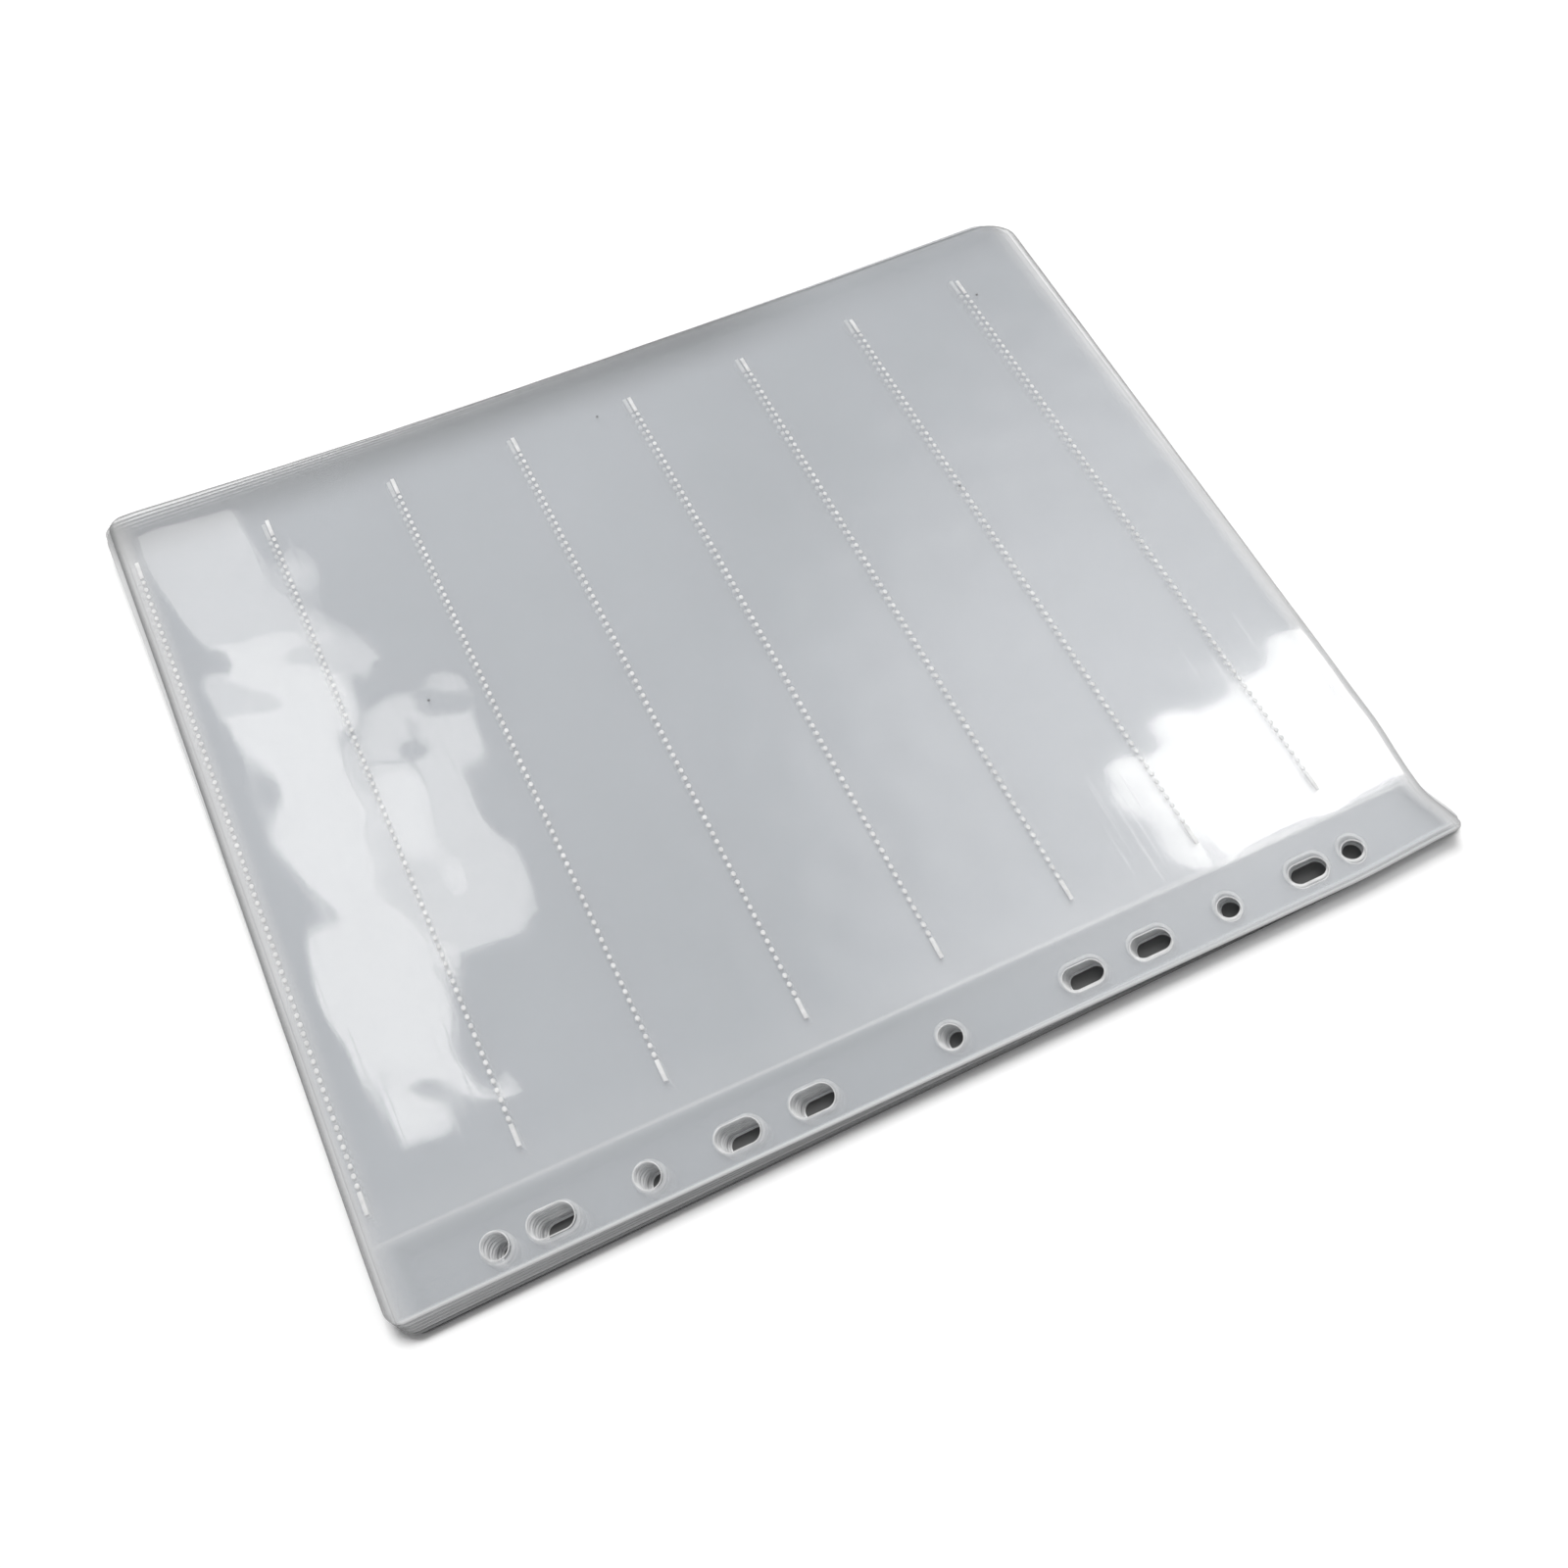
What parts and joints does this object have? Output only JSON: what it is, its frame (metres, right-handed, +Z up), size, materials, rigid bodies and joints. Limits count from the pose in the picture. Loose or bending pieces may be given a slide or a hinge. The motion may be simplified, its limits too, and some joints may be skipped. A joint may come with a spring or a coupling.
{
  "type": "film negative sleeve pack",
  "caption": "Pack of clear film pages for strips of photographic negatives, with welded pockets open at the far edge and a margin punched for ring binders.",
  "frame": {"origin": "middle of the pack's underside", "axes": "+X along the punched edge, +Y from the punched edge to the pocket mouths, +Z up"},
  "size_m": [0.297, 0.25, 0.0082],
  "materials": {
    "clear_film": "clear, glossy, slightly hazy"
  },
  "bodies": {
    "page_01": {"page_01_back_film": "clear_film", "page_01_front_film": "clear_film"},
    "page_02": {"page_02_back_film": "clear_film", "page_02_front_film": "clear_film"},
    "page_03": {"page_03_back_film": "clear_film", "page_03_front_film": "clear_film"},
    "page_04": {"page_04_back_film": "clear_film", "page_04_front_film": "clear_film"},
    "page_05": {"page_05_back_film": "clear_film", "page_05_front_film": "clear_film"},
    "page_06": {"page_06_back_film": "clear_film", "page_06_front_film": "clear_film"},
    "page_07": {"page_07_back_film": "clear_film", "page_07_front_film": "clear_film"},
    "page_08": {"page_08_back_film": "clear_film", "page_08_front_film": "clear_film"},
    "page_09": {"page_09_back_film": "clear_film", "page_09_front_film": "clear_film"},
    "page_10": {"page_10_back_film": "clear_film", "page_10_front_film": "clear_film"}
  },
  "joints": [
    {"name": "page_02_lift", "type": "slide", "parent": "page_01", "child": "page_02", "axis": [0, 0, 1], "range_m": [0, 0.04]},
    {"name": "page_03_lift", "type": "slide", "parent": "page_02", "child": "page_03", "axis": [0, 0, 1], "range_m": [0, 0.04]},
    {"name": "page_04_lift", "type": "slide", "parent": "page_03", "child": "page_04", "axis": [0, 0, 1], "range_m": [0, 0.04]},
    {"name": "page_05_lift", "type": "slide", "parent": "page_04", "child": "page_05", "axis": [0, 0, 1], "range_m": [0, 0.04]},
    {"name": "page_06_lift", "type": "slide", "parent": "page_05", "child": "page_06", "axis": [0, 0, 1], "range_m": [0, 0.04]},
    {"name": "page_07_lift", "type": "slide", "parent": "page_06", "child": "page_07", "axis": [0, 0, 1], "range_m": [0, 0.04]},
    {"name": "page_08_lift", "type": "slide", "parent": "page_07", "child": "page_08", "axis": [0, 0, 1], "range_m": [0, 0.04]},
    {"name": "page_09_lift", "type": "slide", "parent": "page_08", "child": "page_09", "axis": [0, 0, 1], "range_m": [0, 0.04]},
    {"name": "page_10_lift", "type": "slide", "parent": "page_09", "child": "page_10", "axis": [0, 0, 1], "range_m": [0, 0.04]}
  ]
}
